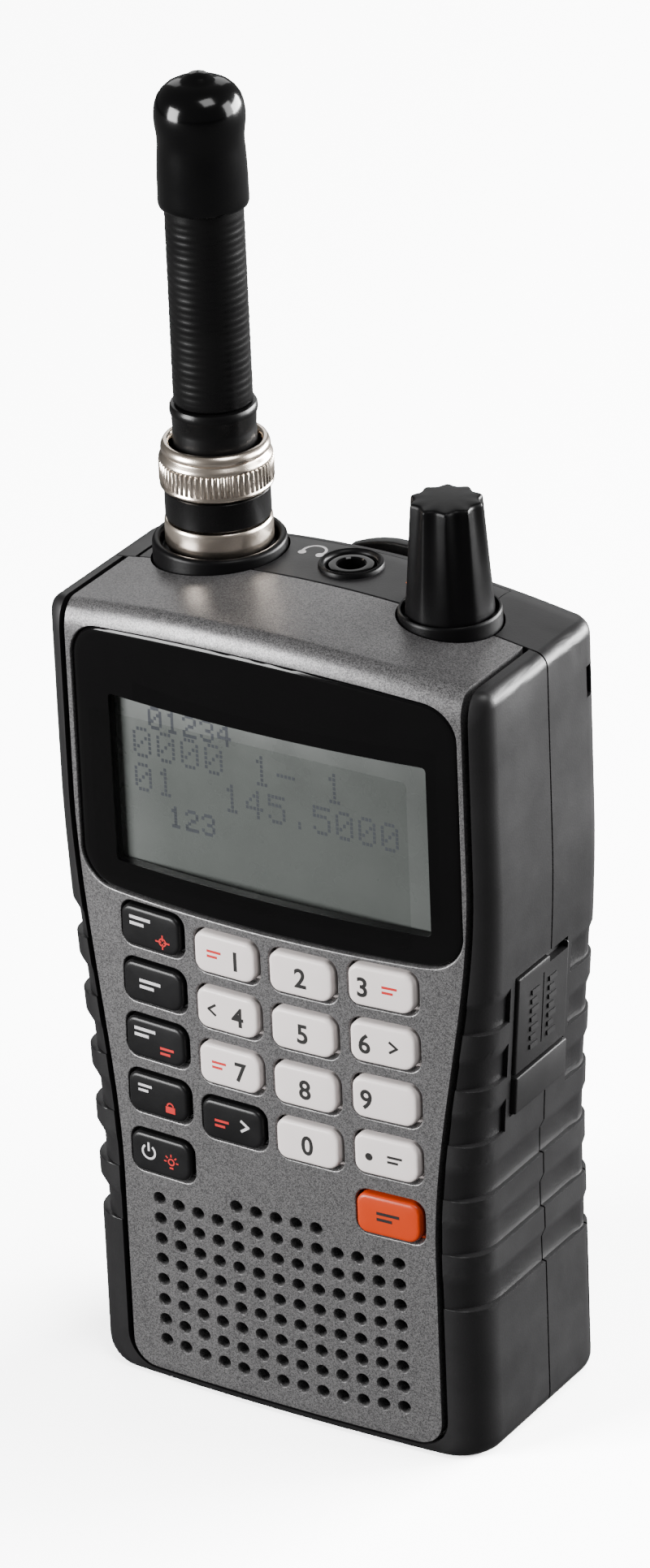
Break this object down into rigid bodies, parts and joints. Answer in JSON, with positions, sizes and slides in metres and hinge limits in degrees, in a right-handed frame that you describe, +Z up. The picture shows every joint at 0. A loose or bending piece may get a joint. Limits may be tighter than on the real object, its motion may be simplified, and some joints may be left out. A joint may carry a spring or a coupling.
{
  "type": "handheld radio scanner",
  "caption": "Handheld radio scanner with arched display, keypad, speaker grille, fluted knob, removable bayonet antenna, side jack cover, battery door and belt clip.",
  "frame": {"origin": "middle of the flat base, where the case stands on a table", "axes": "+X to the right of someone facing the display, +Y from the display towards the belt clip, +Z up the antenna"},
  "size_m": [0.0653, 0.0399, 0.1805],
  "materials": {
    "panel_paint": "fine metallic grain, satin",
    "black_plastic": "fine moulded grain",
    "gloss_black": "polished",
    "white_key": "satin",
    "black_key": "satin",
    "orange_key": "satin",
    "rubber": "matt",
    "nickel": "bright nickel plate",
    "lcd_glass": "grey-green liquid crystal glass",
    "white_plastic": "plain",
    "circuit_board": "green solder mask",
    "tin": "tinned sheet",
    "cone_paper": "matt paper",
    "cell_wrap": "shrunk film",
    "steel": "plated"
  },
  "bodies": {
    "case": {"front_panel": "panel_paint", "front_case": "black_plastic", "display_lens": "gloss_black", "lcd_glass": "lcd_glass", "lcd_backlight": "white_plastic", "rear_case": "black_plastic", "top_plate": "black_plastic", "keypad_mat": "rubber", "main_board": "circuit_board", "rf_shield": "tin", "speaker_basket": "steel", "speaker_magnet": "steel", "speaker_cone": "cone_paper", "headphone_jack": "black_plastic", "charge_port": "tin", "remote_port": "black_plastic", "cover_anchor": "rubber", "antenna_collar": "black_plastic", "knob_collar": "black_plastic", "antenna_socket": "nickel", "socket_insulator": "white_plastic", "encoder_body": "tin", "battery_tray": "black_plastic", "cell_left": "cell_wrap", "cell_right": "cell_wrap", "contact_spring_left": "nickel", "contact_spring_right": "nickel", "contact_strap": "nickel", "clip_bracket": "black_plastic", "clip_screw_1": "steel", "clip_screw_2": "steel"},
    "knob_shaft": {"encoder_shaft": "nickel"},
    "knob": {"volume_knob": "black_plastic"},
    "antenna": {"antenna_whip": "rubber", "antenna_cap": "gloss_black", "antenna_bush": "black_plastic"},
    "coupling": {"coupling_ring": "nickel", "coupling_sleeve": "black_plastic", "coupling_band": "nickel"},
    "cover": {"cover_flap": "rubber"},
    "door": {"battery_door": "black_plastic"},
    "clip": {"clip_arm": "black_plastic"},
    "key_hold_cap": {"key_hold": "black_key"},
    "key_scan_cap": {"key_scan": "black_key"},
    "key_search_cap": {"key_search": "black_key"},
    "key_lockout_cap": {"key_lockout": "black_key"},
    "key_power_cap": {"key_power": "black_key"},
    "key_1_cap": {"key_1": "white_key"},
    "key_2_cap": {"key_2": "white_key"},
    "key_3_cap": {"key_3": "white_key"},
    "key_4_cap": {"key_4": "white_key"},
    "key_5_cap": {"key_5": "white_key"},
    "key_6_cap": {"key_6": "white_key"},
    "key_7_cap": {"key_7": "white_key"},
    "key_8_cap": {"key_8": "white_key"},
    "key_9_cap": {"key_9": "white_key"},
    "key_enter_cap": {"key_enter": "black_key"},
    "key_0_cap": {"key_0": "white_key"},
    "key_clear_cap": {"key_clear": "white_key"},
    "key_function_cap": {"key_function": "orange_key"}
  },
  "joints": [
    {"name": "key_hold_press", "type": "slide", "parent": "case", "child": "key_hold_cap", "axis": [0, 1, 0], "range_m": [0, 0.0008], "stiffness_N_per_m": 900, "springref_m": -0.0003},
    {"name": "key_scan_press", "type": "slide", "parent": "case", "child": "key_scan_cap", "axis": [0, 1, 0], "range_m": [0, 0.0008], "stiffness_N_per_m": 900, "springref_m": -0.0003},
    {"name": "key_search_press", "type": "slide", "parent": "case", "child": "key_search_cap", "axis": [0, 1, 0], "range_m": [0, 0.0008], "stiffness_N_per_m": 900, "springref_m": -0.0003},
    {"name": "key_lockout_press", "type": "slide", "parent": "case", "child": "key_lockout_cap", "axis": [0, 1, 0], "range_m": [0, 0.0008], "stiffness_N_per_m": 900, "springref_m": -0.0003},
    {"name": "key_power_press", "type": "slide", "parent": "case", "child": "key_power_cap", "axis": [0, 1, 0], "range_m": [0, 0.0008], "stiffness_N_per_m": 900, "springref_m": -0.0003},
    {"name": "key_1_press", "type": "slide", "parent": "case", "child": "key_1_cap", "axis": [0, 1, 0], "range_m": [0, 0.0008], "stiffness_N_per_m": 900, "springref_m": -0.0003},
    {"name": "key_2_press", "type": "slide", "parent": "case", "child": "key_2_cap", "axis": [0, 1, 0], "range_m": [0, 0.0008], "stiffness_N_per_m": 900, "springref_m": -0.0003},
    {"name": "key_3_press", "type": "slide", "parent": "case", "child": "key_3_cap", "axis": [0, 1, 0], "range_m": [0, 0.0008], "stiffness_N_per_m": 900, "springref_m": -0.0003},
    {"name": "key_4_press", "type": "slide", "parent": "case", "child": "key_4_cap", "axis": [0, 1, 0], "range_m": [0, 0.0008], "stiffness_N_per_m": 900, "springref_m": -0.0003},
    {"name": "key_5_press", "type": "slide", "parent": "case", "child": "key_5_cap", "axis": [0, 1, 0], "range_m": [0, 0.0008], "stiffness_N_per_m": 900, "springref_m": -0.0003},
    {"name": "key_6_press", "type": "slide", "parent": "case", "child": "key_6_cap", "axis": [0, 1, 0], "range_m": [0, 0.0008], "stiffness_N_per_m": 900, "springref_m": -0.0003},
    {"name": "key_7_press", "type": "slide", "parent": "case", "child": "key_7_cap", "axis": [0, 1, 0], "range_m": [0, 0.0008], "stiffness_N_per_m": 900, "springref_m": -0.0003},
    {"name": "key_8_press", "type": "slide", "parent": "case", "child": "key_8_cap", "axis": [0, 1, 0], "range_m": [0, 0.0008], "stiffness_N_per_m": 900, "springref_m": -0.0003},
    {"name": "key_9_press", "type": "slide", "parent": "case", "child": "key_9_cap", "axis": [0, 1, 0], "range_m": [0, 0.0008], "stiffness_N_per_m": 900, "springref_m": -0.0003},
    {"name": "key_enter_press", "type": "slide", "parent": "case", "child": "key_enter_cap", "axis": [0, 1, 0], "range_m": [0, 0.0008], "stiffness_N_per_m": 900, "springref_m": -0.0003},
    {"name": "key_0_press", "type": "slide", "parent": "case", "child": "key_0_cap", "axis": [0, 1, 0], "range_m": [0, 0.0008], "stiffness_N_per_m": 900, "springref_m": -0.0003},
    {"name": "key_clear_press", "type": "slide", "parent": "case", "child": "key_clear_cap", "axis": [0, 1, 0], "range_m": [0, 0.0008], "stiffness_N_per_m": 900, "springref_m": -0.0003},
    {"name": "key_function_press", "type": "slide", "parent": "case", "child": "key_function_cap", "axis": [0, 1, 0], "range_m": [0, 0.0008], "stiffness_N_per_m": 900, "springref_m": -0.0003},
    {"name": "knob_push", "type": "slide", "parent": "case", "child": "knob_shaft", "axis": [0, 0, -1], "range_m": [0, 0.0005], "stiffness_N_per_m": 4000, "springref_m": -0.0004},
    {"name": "knob_turn", "type": "hinge", "parent": "knob_shaft", "child": "knob", "pos_m": [0.0186, 0.0024, 0.115], "axis": [0, 0, 1], "continuous": true},
    {"name": "antenna_pull", "type": "slide", "parent": "case", "child": "antenna", "axis": [0, 0, 1], "range_m": [0, 0.02]},
    {"name": "coupling_turn", "type": "hinge", "parent": "antenna", "child": "coupling", "pos_m": [-0.0186, 0.0063, 0.1153], "axis": [0, 0, 1], "range_deg": [0, 90]},
    {"name": "cover_fold", "type": "hinge", "parent": "case", "child": "cover", "pos_m": [0.0327, -0.0008, 0.0549], "axis": [0, 1, 0], "range_deg": [0, 100]},
    {"name": "door_slide", "type": "slide", "parent": "case", "child": "door", "axis": [0, 0, -1], "range_m": [0, 0.008]},
    {"name": "clip_open", "type": "hinge", "parent": "case", "child": "clip", "pos_m": [0, 0.02115, 0.099], "axis": [1, 0, 0], "range_deg": [0, 7], "stiffness_Nm_per_rad": 1.2, "springref_deg": -2.86}
  ]
}
